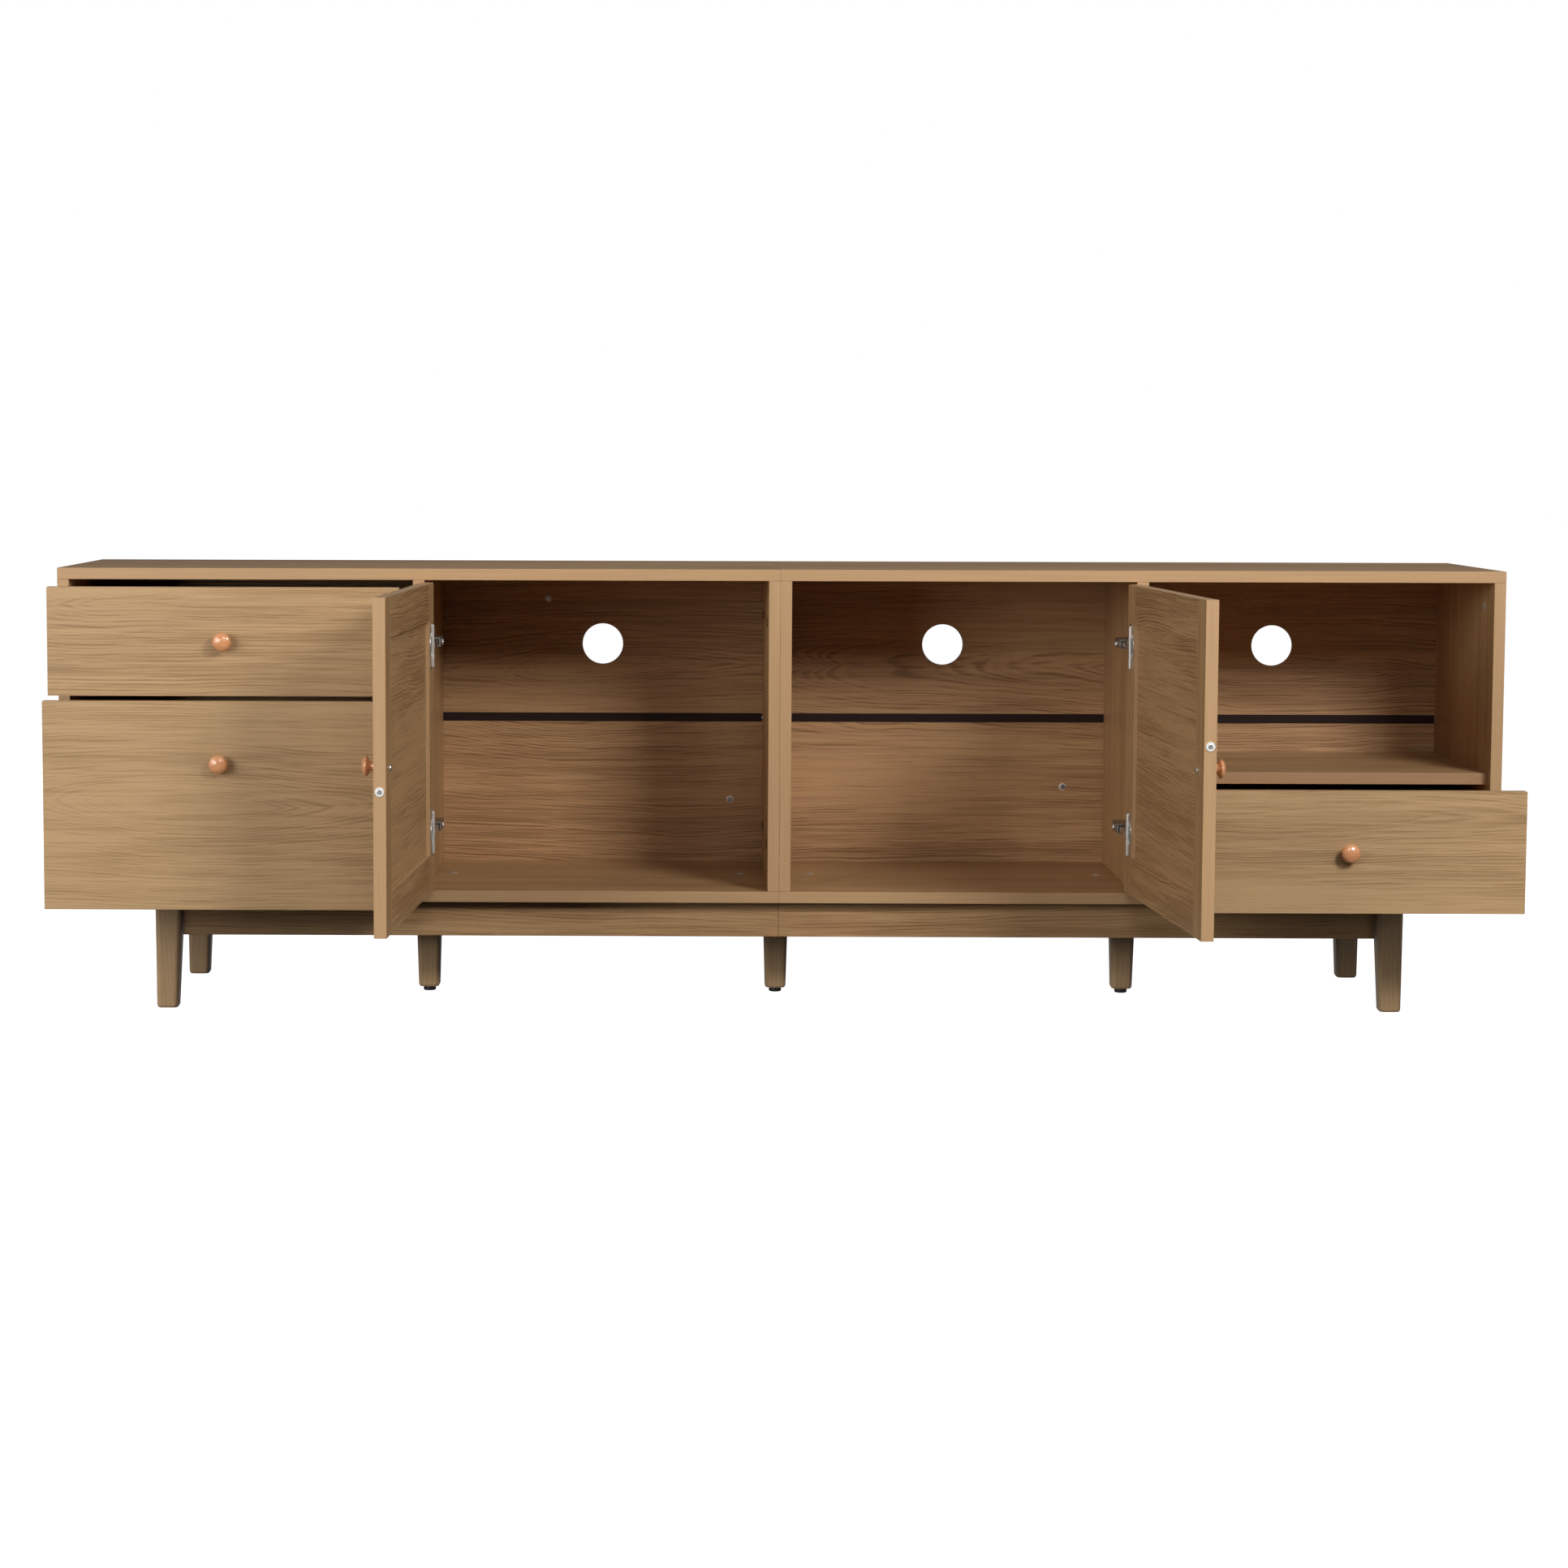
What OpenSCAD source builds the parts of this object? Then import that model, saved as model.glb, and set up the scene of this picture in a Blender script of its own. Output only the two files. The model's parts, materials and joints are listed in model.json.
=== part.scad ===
// Two-module media cabinet on a legged base: three drawers, two hinged doors,
// an open shelf bay and cable holes. It is drawn with the doors open and the
// drawers pulled out. Millimetres. X runs along the cabinet, the front faces -Y
// and Z is up. The origin is under the centre foot, on the floor.

/* [Carcass] */
// Overall width over both modules
width = 2000; // [1900:10:2100]
// Depth from the front edges to the rear edges
depth = 350; // [350:5:420]
// Height from the floor to the top face
height = 616; // [600:2:640]
// Thickness of the laminated boards
board = 16; // [15:0.5:18]
// Clear height under the base panels
leg_h = 152; // [140:1:160]
// Height of the shelf's upper face
shelf_top = 335; // [325:1:345]
// Shelf setback that leaves room for the drawer front
shelf_setback = 20; // [19:1:30]

/* [Back] */
// Thickness of the back panels
back_t = 3; // [2.5:0.5:4]
// Distance from the back panels to the rear edges
back_inset = 3; // [2:0.5:6]
// Height of the profile that joins upper and lower back panels
joiner_z = 383.5; // [370:0.5:395]
// Height of that profile's flanges
joiner_h = 12.6; // [10:0.2:16]
// Diameter of the cable holes
cable_d = 60; // [50:1:70]
// Height of the cable holes
cable_z = 493; // [470:1:520]

/* [Base] */
// Distance from the corner legs' centres to the cabinet's ends
leg_end = 148; // [120:0.5:180]
// Distance from the corner legs' centres to the front and rear edges
leg_edge = 28; // [26:1:40]
// Leg section at the top
leg_top = 38; // [34:1:42]
// Leg section at the floor
leg_bottom = 30; // [26:1:32]
// Height of the aprons
apron_h = 50; // [40:1:60]
// Diameter of the levelling feet
foot_d = 18; // [16:1:22]
// Height of the levelling feet's pads
foot_h = 6.5; // [5:0.5:9]

/* [Doors] */
// Gap around each door
door_gap = 3; // [2.5:0.5:4]
// Door thickness
door_t = 16; // [16:0.5:18]
// Width of the upright frame members
stile_w = 46; // [40:1:60]
// Width of the level frame members
rail_w = 52; // [40:1:60]
// Depth of the panel below the frame on both faces
panel_recess = 5.5; // [4:0.5:6]
// How far the left door stands open, in degrees
left_door_open = 92.9; // [0:0.1:94]
// How far the right door stands open, in degrees
right_door_open = 94; // [0:0.1:94]
// Height of the hinges above and below the middle of the door
hinge_offset = 129; // [110:1:150]
// Distance from the door knob to the free edge
door_knob_in = 35; // [30:1:45]

/* [Drawers] */
// Gap on both sides of a drawer front
drawer_gap = 4; // [3.5:0.5:5]
// Gap between the two left drawer fronts
front_split = 4; // [3:0.5:6]
// Height of the lower left drawer front
low_front_h = 277; // [260:1:290]
// Distance from the lower left knob to the top of its front
low_knob_down = 82.5; // [60:0.5:138]
// How far the upper left drawer stands out
top_drawer_out = 181; // [0:1:225]
// How far the lower left drawer stands out
low_drawer_out = 222; // [0:1:225]
// How far the right drawer stands out
right_drawer_out = 220; // [0:1:225]
// Length of the drawer boxes and runners
box_l = 300; // [280:5:300]
// Thickness of the drawer box boards
box_t = 12; // [10:1:15]
// Knob diameter
knob_d = 25; // [22:1:30]

/* [Hidden] */
$fn = 48;
y_front = -depth/2;
y_back = depth/2;
half = width/2;
bay_w = (half - 3*board)/2;
bay_bottom = leg_h + board;
bay_top = height - board;
bay_mid_z = (bay_bottom + bay_top)/2;
part_x = half/2;
outer_bay_x = half - board - bay_w/2;
inner_bay_x = board + bay_w/2;
right_hole_x = inner_bay_x - 3;
shelf_hole_x = outer_bay_x - 6;
back_y = y_back - back_inset - back_t;
joiner_room = 1.2;
inner_rear_y = back_y - joiner_room;
groove_d = 6;
groove_play = 0.1;
back_play = 0.5;
front_z0 = bay_bottom + door_gap;
front_z1 = bay_top - door_gap;
front_set = 2;

// Door and hinge layout, measured from the partition's face and the front edge
door_w = bay_w - 2*door_gap;
pivot_in = -2;
pivot_back = 3;
cup_in = 22.5;
cup_r = 17.5;
cup_depth = 11.5;
cup_wall = 1.5;
slot_clear = 1;
link_stroke = 32;
door_limit = 94;
panel_tongue = 5;

// Drawer layout
top_front_z = front_z0 + low_front_h + front_split;
top_front_h = front_z1 - top_front_z;
right_front_h = shelf_top - 1 - front_z0;
front_t = 16;
top_box_h = top_front_h - 35;
low_box_h = low_front_h - 60;
right_box_h = right_front_h - 48;
top_knob_z = top_front_z + top_front_h/2;
low_knob_z = front_z0 + low_front_h - low_knob_down;
right_knob_z = front_z0 + right_front_h/2;
runner_gap = 13;
box_w = bay_w - 2*runner_gap;
box_lift = 12;
runner_h = 36;
sheet = 1.5;

oak = [0.70, 0.57, 0.41];
oak_edge = [0.74, 0.60, 0.44];
oak_dark = [0.60, 0.47, 0.33];
solid_oak = [0.62, 0.53, 0.36];
nickel = [0.72, 0.72, 0.72];
black = [0.08, 0.08, 0.08];
maroon = [0.20, 0.12, 0.12];
salmon = [0.82, 0.52, 0.36];
grey = [0.70, 0.70, 0.70];

// A board between two corners given as [x, y, z]
module block(low, high) {
    translate(low) cube(high - low);
}

// Everything for the right module is the left module's shape, mirrored
module flip(side) {
    if (side > 0) mirror([1, 0, 0]) children();
    else children();
}

// ---- Carcass ----

// Groove for a back panel in a level board, cut upward or downward by its box
module level_groove(z0, z1) {
    for (m = [0, 1]) mirror([m, 0, 0])
        block([-half + board - groove_d, back_y - groove_play, z0],
              [-board + groove_d, back_y + back_t + groove_play, z1]);
}

module top_panel(side) {
    color(oak) flip(side) difference() {
        block([-half, y_front, bay_top], [0, y_back, height]);
        level_groove(bay_top - 1, bay_top + groove_d);
    }
}

module base_panel(side) {
    color(oak) flip(side) difference() {
        block([-half, y_front, leg_h], [0, y_back, bay_bottom]);
        level_groove(bay_bottom - groove_d, bay_bottom + 1);
    }
}

// Groove for the back panels' side edges, between two x positions
module upright_groove(x0, x1) {
    block([x0, back_y - groove_play, bay_bottom - 1],
          [x1, back_y + back_t + groove_play, bay_top + 1]);
}

module side_panel(side) {
    color(oak_edge) flip(side) difference() {
        block([-half, y_front, bay_bottom], [-half + board, y_back, bay_top]);
        upright_groove(-half + board - groove_d, -half + board + 1);
    }
}

bolt_r = 3.5;
bolt_in = 60;
bolt_ys = [y_front + bolt_in, y_back - bolt_in];
bolt_zs = [bay_bottom + bolt_in, bay_top - bolt_in];
bolt_head_r = 7;
bolt_head_h = 1.2;

module bolt_holes() {
    for (y = bolt_ys, z = bolt_zs)
        translate([0, y, z]) rotate([0, 90, 0]) cylinder(r = bolt_r + 0.2, h = 3*board, center = true);
}

module centre_panel(side) {
    color(oak_edge) flip(side) difference() {
        block([-board, y_front, bay_bottom], [0, y_back, bay_top]);
        upright_groove(-board - 1, -board + groove_d);
        bolt_holes();
    }
}

module partition(side) {
    color(oak_edge) flip(side)
        block([-part_x - board/2, y_front, bay_bottom], [-part_x + board/2, inner_rear_y, bay_top]);
}

module shelf() {
    color(oak)
        block([part_x + board/2, y_front + shelf_setback, shelf_top - board],
              [half - board, inner_rear_y, shelf_top]);
}

// One thin back panel of a module, with cable holes at the listed x positions
module back_panel(side, z0, z1, holes) {
    color(oak_dark) difference() {
        flip(side)
            block([-half + board - groove_d + back_play, back_y, z0],
                  [-board + groove_d - back_play, back_y + back_t, z1]);
        for (x = holes)
            translate([x, back_y + back_t/2, cable_z]) rotate([90, 0, 0])
                cylinder(d = cable_d, h = 4*back_t, center = true, $fn = 96);
    }
}

back_z0 = bay_bottom - groove_d + back_play;
back_z1 = bay_top + groove_d - back_play;
joiner_web = 1;

module back_upper(side) {
    holes = side < 0 ? [-inner_bay_x] : [right_hole_x, shelf_hole_x];
    back_panel(side, joiner_z + joiner_web/2 + 0.1, back_z1, holes);
}

module back_lower(side) {
    back_panel(side, back_z0, joiner_z - joiner_web/2 - 0.1, []);
}

// H-shaped plastic profile between the upper and lower back panels
module back_joiners() {
    play = 0.05;
    wall = 1;
    color(maroon) for (side = [-1, 1]) flip(side) {
        x0 = -half + board + 1;
        x1 = -board - 1;
        difference() {
            block([x0, back_y - play - wall, joiner_z - joiner_h/2],
                  [x1, back_y + back_t + play + wall, joiner_z + joiner_h/2]);
            for (s = [-1, 1])
                translate([x0 - 1, back_y - play, joiner_z + s*(joiner_web/2 + joiner_h/2) - joiner_h/2])
                    cube([x1 - x0 + 2, back_t + 2*play, joiner_h]);
        }
    }
}

module module_bolts() {
    color(nickel) for (y = bolt_ys, z = bolt_zs)
        translate([0, y, z]) rotate([0, 90, 0]) {
            cylinder(r = bolt_r, h = 2*board, center = true);
            for (m = [0, 1]) mirror([0, 0, m]) translate([0, 0, board])
                cylinder(r1 = bolt_head_r, r2 = bolt_head_r - 1, h = bolt_head_h);
        }
}

// Round plastic covers over the cam fittings, and the heads that hold the backs
cap_r = 6;
cap_h = 0.8;
head_r = 4.8;
head_h = 1.2;
cap_in = 34;
floor_cap_y = 21;
floor_cap_xs = [-part_x + cap_in, -board - cap_in, board + cap_in, part_x - cap_in];
back_heads = [[-335, 560], [-64, 261], [432, 281]];

module cam_caps() {
    color(grey) {
        for (x = floor_cap_xs) translate([x, floor_cap_y, bay_bottom]) cylinder(r = cap_r, h = cap_h);
        for (m = [0, 1]) mirror([m, 0, 0])
            translate([-half + board, y_front + 56, bay_top - cap_in]) rotate([0, 90, 0])
                cylinder(r = cap_r, h = cap_h);
        for (c = back_heads)
            translate([c[0], back_y, c[1]]) rotate([90, 0, 0]) {
                cylinder(r = head_r, h = cap_h);
                translate([0, 0, cap_h]) cylinder(r1 = 0.75*head_r, r2 = 0.6*head_r, h = head_h);
            }
    }
}

// ---- Base ----

corner_x = half - leg_end;
corner_y = depth/2 - leg_edge;
apron_t = 16;
leg_round = 7;
foot_lean = 3;
leg_lift = foot_h + 0.3;
module_gap = 0.4;
slice_t = 0.01;

module leg_slice(size, z, shift = [0, 0]) {
    translate([shift[0], shift[1], z]) linear_extrude(slice_t)
        offset(r = leg_round) square(size - 2*leg_round, center = true);
}

// A tapered leg; shift moves its lower end sideways
module leg(bottom_z, shift = [0, 0]) {
    chamfer = 3;
    hull() {
        leg_slice(leg_top, leg_h - slice_t);
        leg_slice(leg_bottom, bottom_z + chamfer, shift);
        leg_slice(leg_bottom - chamfer, bottom_z, shift);
    }
}

module corner_legs(row) {
    color(solid_oak) for (s = [-1, 1])
        translate([s*corner_x, row*corner_y, 0]) leg(0, [s*foot_lean, row*foot_lean]);
}

stud_r = 4;
stud_l = 24;
stud_play = 0.4;

module legs_mid() {
    color(solid_oak) for (x = [-part_x, 0, part_x]) translate([x, 0, 0]) difference() {
        leg(leg_lift);
        translate([0, 0, foot_h - 1]) cylinder(r = stud_r + stud_play, h = stud_l + 8);
    }
}

module foot(x) {
    color(black) translate([x, 0, 0]) {
        cylinder(r1 = foot_d/2 - 1, r2 = foot_d/2, h = 1);
        translate([0, 0, 1]) cylinder(d = foot_d, h = foot_h - 1);
        translate([0, 0, foot_h - 1]) cylinder(r = stud_r, h = stud_l);
    }
}

module apron_long(row) {
    y = row*corner_y;
    color(oak) for (m = [0, 1]) mirror([m, 0, 0])
        block([-corner_x + leg_top/2, y - apron_t/2, leg_h - apron_h],
              [-module_gap/2, y + apron_t/2, leg_h]);
}

module aprons_end() {
    color(oak) for (m = [0, 1]) mirror([m, 0, 0])
        block([corner_x - apron_t/2, -corner_y + leg_top/2, leg_h - apron_h],
              [corner_x + apron_t/2, corner_y - leg_top/2, leg_h]);
}

// ---- Knobs ----

// Turned mushroom knob along +Z, base at the origin
module knob() {
    r = knob_d/2;
    neck_r = 0.46*r;
    neck_h = 9;
    head_h = 4.5;
    dome_h = 6;
    color(salmon) rotate_extrude($fn = 64) polygon(concat(
        [[0, 0], [0.72*r, 0], [0.72*r, 1.5], [neck_r + 0.6, 4], [neck_r, 6.5], [neck_r + 1, neck_h]],
        [for (a = [-60:20:0]) [r - 1.6 + 1.6*cos(a), neck_h + head_h + 2*sin(a)]],
        [for (a = [15:15:90]) [(r - 0.2)*cos(a), neck_h + head_h + dome_h*sin(a)]]
    ));
}

// ---- Doors, drawn closed in the left module, then turned open ----

door_x0 = -part_x + board/2 + door_gap;
door_x1 = door_x0 + door_w;
door_y0 = y_front + front_set;
door_y1 = door_y0 + door_t;
pivot_x = -part_x + board/2 + pivot_in;
pivot_y = y_front + pivot_back;
cup_x = door_x0 + cup_in;
hinge_zs = [bay_mid_z - hinge_offset, bay_mid_z + hinge_offset];

module opened(side) {
    angle = side < 0 ? left_door_open : right_door_open;
    flip(side) translate([pivot_x, pivot_y, 0]) rotate(-angle) translate([-pivot_x, -pivot_y, 0]) children();
}

module at_hinges() {
    for (z = hinge_zs) translate([0, 0, z]) children();
}

module cup_bore(extra) {
    translate([cup_x, door_y1 + 1, 0]) rotate([90, 0, 0])
        cylinder(r = cup_r + extra, h = cup_depth + 1 + extra);
}

// The frame's groove has 0.1 on each side of the panel and 0.5 at its edge
groove_y0 = door_y0 + panel_recess - 0.1;
groove_y1 = door_y1 - panel_recess + 0.1;
tongue_room = panel_tongue + 0.5;

module door_stiles(side) {
    color(oak) opened(side) for (x0 = [door_x0, door_x1 - stile_w]) {
        inner = x0 == door_x0 ? stile_w - tongue_room : -1;
        difference() {
            block([x0, door_y0, front_z0], [x0 + stile_w, door_y1, front_z1]);
            block([x0 + inner, groove_y0, front_z0 + rail_w - tongue_room],
                  [x0 + inner + tongue_room + 1, groove_y1, front_z1 - rail_w + tongue_room]);
            at_hinges() cup_bore(0.1);
        }
    }
}

module door_rails(side) {
    color(oak) opened(side) for (z0 = [front_z0, front_z1 - rail_w]) {
        inner = z0 == front_z0 ? rail_w - tongue_room : -1;
        difference() {
            block([door_x0 + stile_w, door_y0, z0], [door_x1 - stile_w, door_y1, z0 + rail_w]);
            block([door_x0 + stile_w - 1, groove_y0, z0 + inner],
                  [door_x1 - stile_w + 1, groove_y1, z0 + inner + tongue_room + 1]);
        }
    }
}

module door_panel(side) {
    color(oak) opened(side)
        block([door_x0 + stile_w - panel_tongue, door_y0 + panel_recess, front_z0 + rail_w - panel_tongue],
              [door_x1 - stile_w + panel_tongue, door_y1 - panel_recess, front_z1 - rail_w + panel_tongue]);
}

module door_knob(side) {
    opened(side) translate([door_x1 - door_knob_in, door_y0, bay_mid_z]) rotate([90, 0, 0]) knob();
}

// Cup, its flange and the hook that the arm's link takes hold of
flange_h = 61;
flange_w = 13;
flange_t = 1.2;
flange_screw = 24;
screw_h = 1.4;
hook_w = 10;
hook_rise = 5;
hook_pin_r = 1.8;

module hinge_cup() {
    difference() {
        union() {
            translate([cup_x, door_y1, 0]) rotate([90, 0, 0]) cylinder(r = cup_r, h = cup_depth);
            translate([cup_x, door_y1 + flange_t, 0]) rotate([90, 0, 0])
                cylinder(r = cup_r + 1.5, h = flange_t);
            block([cup_x - flange_w/2, door_y1, -flange_h/2],
                  [cup_x + flange_w/2, door_y1 + flange_t, flange_h/2]);
        }
        translate([cup_x, door_y1 + 2, 0]) rotate([90, 0, 0])
            cylinder(r = cup_r - cup_wall, h = cup_depth - cup_wall + 2);
    }
    for (z = [-flange_screw, flange_screw])
        translate([cup_x, door_y1 + flange_t + screw_h, z]) rotate([90, 0, 0])
            cylinder(r1 = 2.6, r2 = 4, h = screw_h);
    // The hook bridges the cup and reaches toward the hinge edge
    block([door_x0 + 1, door_y1 + flange_t, -hook_w/2], [cup_x + 2, door_y1 + hook_rise, hook_w/2]);
    block([cup_x - 4, door_y1 - 7, -hook_w/2], [cup_x + 2, door_y1 + flange_t, hook_w/2]);
    translate([cup_x - 1, door_y1 - 4, 0])
        cylinder(r = hook_pin_r, h = 2*(cup_r - cup_wall), center = true);
}

module hinge_cups(side) {
    color(nickel) opened(side) at_hinges() hinge_cup();
}

// Arm and mounting plate on the partition, with a channel for the link
wall_x = -part_x + board/2;
arm_y0 = y_front + 28;
arm_l = 50;
arm_w = 20;
arm_h = 13;
plate_h = 34;
plate_t = 2;
plate_screw = 12.5;
link_x0 = wall_x + 11;
link_x1 = link_x0 + 6;
link_h = 6;
link_l = 38;

module hinge_arm() {
    difference() {
        union() {
            block([wall_x, arm_y0 + 4, -plate_h/2], [wall_x + plate_t, arm_y0 + 44, plate_h/2]);
            block([wall_x + plate_t, arm_y0 + 8, -8], [wall_x + 7, arm_y0 + 40, 8]);
            block([wall_x + 7, arm_y0, -arm_h/2], [wall_x + arm_w, arm_y0 + arm_l, arm_h/2]);
        }
        block([link_x0 - slot_clear, arm_y0 - 1, -link_h/2 - slot_clear],
              [link_x1 + slot_clear, arm_y0 + arm_l - 2, link_h/2 + slot_clear]);
    }
    for (z = [-plate_screw, plate_screw]) translate([wall_x + plate_t, arm_y0 + 24, z]) rotate([0, 90, 0])
        cylinder(r1 = 4, r2 = 2.6, h = screw_h);
    translate([wall_x + arm_w, arm_y0 + 34, 0]) rotate([0, 90, 0]) cylinder(r = 4, h = screw_h);
}

module hinge_arms(side) {
    color(nickel) flip(side) at_hinges() hinge_arm();
}

// The link slides out of the arm as the door opens
module hinge_links(side) {
    angle = side < 0 ? left_door_open : right_door_open;
    out = link_stroke*angle/door_limit;
    y_tip = y_front + 34 - out;
    color(nickel) flip(side) at_hinges()
        block([link_x0, y_tip, -link_h/2], [link_x1, y_tip + link_l, link_h/2]);
}

// ---- Drawers ----

// Calls its children at a drawer's place: side -1 is the left end, 1 the right
module drawer_at(side, out) {
    translate([side*outer_bay_x, y_front + front_set - out, 0]) children();
}

module drawer_front(side, z, h, out) {
    color(oak) drawer_at(side, out)
        block([-bay_w/2 + drawer_gap, 0, z], [bay_w/2 - drawer_gap, front_t, z + h]);
}

bottom_t = 4;
bottom_lift = 10;
bottom_tongue = 5;
groove_in = bottom_tongue + 0.3;
joint_gap = 0.05;

module drawer_box(side, z, h, out) {
    z0 = z + box_lift;
    w = box_w/2;
    color(oak) drawer_at(side, out) difference() {
        union() {
            for (m = [0, 1]) mirror([m, 0, 0])
                block([w - box_t, front_t, z0], [w, front_t + box_l, z0 + h]);
            for (y = [front_t, front_t + box_l - box_t])
                block([-w + box_t + joint_gap, y, z0], [w - box_t - joint_gap, y + box_t, z0 + h]);
        }
        block([-w + box_t - groove_in, front_t + box_t - groove_in, z0 + bottom_lift - 0.1],
              [w - box_t + groove_in, front_t + box_l - box_t + groove_in,
               z0 + bottom_lift + bottom_t + 0.1]);
    }
}

module drawer_bottom(side, z, out) {
    w = box_w/2 - box_t + bottom_tongue;
    z0 = z + box_lift + bottom_lift;
    color(oak_dark) drawer_at(side, out)
        block([-w, front_t + box_t - bottom_tongue, z0],
              [w, front_t + box_l - box_t + bottom_tongue, z0 + bottom_t]);
}

module drawer_knob(side, z, out) {
    drawer_at(side, out) translate([0, 0, z]) rotate([90, 0, 0]) knob();
}

// Channel section, open toward +X, h high and d deep
module channel(d, h, l) {
    difference() {
        block([0, 0, -h/2], [d, l, h/2]);
        block([sheet, -1, -h/2 + sheet], [d + 1, l + 1, h/2 - sheet]);
    }
}

runner_lift = 60;
runner_d = 9.5;
runner_set = 22;
slide_h = runner_h - 8;

// Cabinet members, one on each wall of the bay
module drawer_runners(side, z) {
    color(nickel) translate([side*outer_bay_x, y_front + runner_set, z + runner_lift])
        for (m = [0, 1]) mirror([m, 0, 0]) translate([-bay_w/2, 0, 0])
            channel(runner_d, runner_h, box_l);
}

// Drawer members, one on each side of the box
module drawer_slides(side, z, out) {
    color(nickel) drawer_at(side, out) translate([0, front_t, z + runner_lift])
        for (m = [0, 1]) mirror([m, 0, 0]) translate([-box_w/2, 0, 0]) mirror([1, 0, 0])
            channel(runner_d, slide_h, box_l);
}

top_panel(-1);  // top_left
top_panel(1);  // top_right
base_panel(-1);  // base_left
base_panel(1);  // base_right
side_panel(-1);  // side_left
side_panel(1);  // side_right
centre_panel(-1);  // centre_left
centre_panel(1);  // centre_right
partition(-1);  // partition_left
partition(1);  // partition_right
shelf();
back_upper(-1);  // back_upper_left
back_lower(-1);  // back_lower_left
back_upper(1);  // back_upper_right
back_lower(1);  // back_lower_right
back_joiners();
apron_long(-1);  // aprons_front
apron_long(1);  // aprons_back
aprons_end();
corner_legs(-1);  // legs_front
corner_legs(1);  // legs_back
legs_mid();
foot(-part_x);  // foot_left
foot(0);  // foot_centre
foot(part_x);  // foot_right
module_bolts();
cam_caps();
hinge_arms(-1);  // hinge_arms_left
hinge_links(-1);  // hinge_links_left
hinge_cups(-1);  // hinge_cups_left
door_stiles(-1);  // door_left_stiles
door_rails(-1);  // door_left_rails
door_panel(-1);  // door_left_panel
door_knob(-1);  // door_left_knob
hinge_arms(1);  // hinge_arms_right
hinge_links(1);  // hinge_links_right
hinge_cups(1);  // hinge_cups_right
door_stiles(1);  // door_right_stiles
door_rails(1);  // door_right_rails
door_panel(1);  // door_right_panel
door_knob(1);  // door_right_knob
drawer_runners(-1, top_front_z);  // top_drawer_runners
drawer_slides(-1, top_front_z, top_drawer_out);  // top_drawer_slides
drawer_front(-1, top_front_z, top_front_h, top_drawer_out);  // top_drawer_front
drawer_box(-1, top_front_z, top_box_h, top_drawer_out);  // top_drawer_box
drawer_bottom(-1, top_front_z, top_drawer_out);  // top_drawer_bottom
drawer_knob(-1, top_knob_z, top_drawer_out);  // top_drawer_knob
drawer_runners(-1, front_z0);  // low_drawer_runners
drawer_slides(-1, front_z0, low_drawer_out);  // low_drawer_slides
drawer_front(-1, front_z0, low_front_h, low_drawer_out);  // low_drawer_front
drawer_box(-1, front_z0, low_box_h, low_drawer_out);  // low_drawer_box
drawer_bottom(-1, front_z0, low_drawer_out);  // low_drawer_bottom
drawer_knob(-1, low_knob_z, low_drawer_out);  // low_drawer_knob
drawer_runners(1, front_z0);  // right_drawer_runners
drawer_slides(1, front_z0, right_drawer_out);  // right_drawer_slides
drawer_front(1, front_z0, right_front_h, right_drawer_out);  // right_drawer_front
drawer_box(1, front_z0, right_box_h, right_drawer_out);  // right_drawer_box
drawer_bottom(1, front_z0, right_drawer_out);  // right_drawer_bottom
drawer_knob(1, right_knob_z, right_drawer_out);  // right_drawer_knob
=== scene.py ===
"""Looks of the media cabinet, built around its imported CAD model. Metres; +X along the cabinet, the front
faces -Y, +Z up, and the origin is under the centre foot on the floor."""
import json
import math

import bmesh
import bpy
from mathutils import Matrix, Vector


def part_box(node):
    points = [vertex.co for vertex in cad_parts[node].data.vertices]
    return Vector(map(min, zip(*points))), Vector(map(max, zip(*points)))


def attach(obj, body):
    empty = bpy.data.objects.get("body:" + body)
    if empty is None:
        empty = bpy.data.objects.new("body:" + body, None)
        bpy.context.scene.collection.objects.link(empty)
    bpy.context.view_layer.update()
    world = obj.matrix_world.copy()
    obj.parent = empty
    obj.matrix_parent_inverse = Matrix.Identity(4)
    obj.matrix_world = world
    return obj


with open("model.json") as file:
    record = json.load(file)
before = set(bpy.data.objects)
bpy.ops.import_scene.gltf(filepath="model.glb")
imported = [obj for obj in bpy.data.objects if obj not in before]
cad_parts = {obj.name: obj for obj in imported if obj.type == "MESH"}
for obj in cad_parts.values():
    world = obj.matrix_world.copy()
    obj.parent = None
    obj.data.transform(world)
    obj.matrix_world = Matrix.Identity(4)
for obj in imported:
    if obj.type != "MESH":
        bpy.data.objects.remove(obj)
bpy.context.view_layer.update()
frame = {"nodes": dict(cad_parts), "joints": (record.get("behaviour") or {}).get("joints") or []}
nodes = frame["nodes"]
MM = 0.001


# ---- Camera, lights and floor ----

EYE = (-0.1319, -4.6835, 0.7786)
PAN_LEFT, TILT_DOWN, ROLL = 0.38, 4.73, 0.15
SENSOR, LENS = 36, 74.98
LENS_SHIFT = (0.0771, -0.0400)


def add_camera():
    """The viewing angle of a long lens standing about 4.5 m in front, a little left of the middle."""
    camera = bpy.data.cameras.new("camera")
    camera.sensor_width = SENSOR
    camera.lens = LENS
    camera.shift_x, camera.shift_y = LENS_SHIFT
    camera.clip_end = 60
    eye = bpy.data.objects.new("camera", camera)
    turn = (
        Matrix.Rotation(math.radians(PAN_LEFT), 4, "Z")
        @ Matrix.Rotation(math.radians(90 - TILT_DOWN), 4, "X")
        @ Matrix.Rotation(math.radians(ROLL), 4, "Z")
    )
    eye.matrix_world = Matrix.Translation(EYE) @ turn
    bpy.context.scene.collection.objects.link(eye)
    bpy.context.scene.camera = eye


# The sky is plain white to the camera. It lights nothing but reflections, where it is this bright.
REFLECTED_SKY = 0.18


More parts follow.
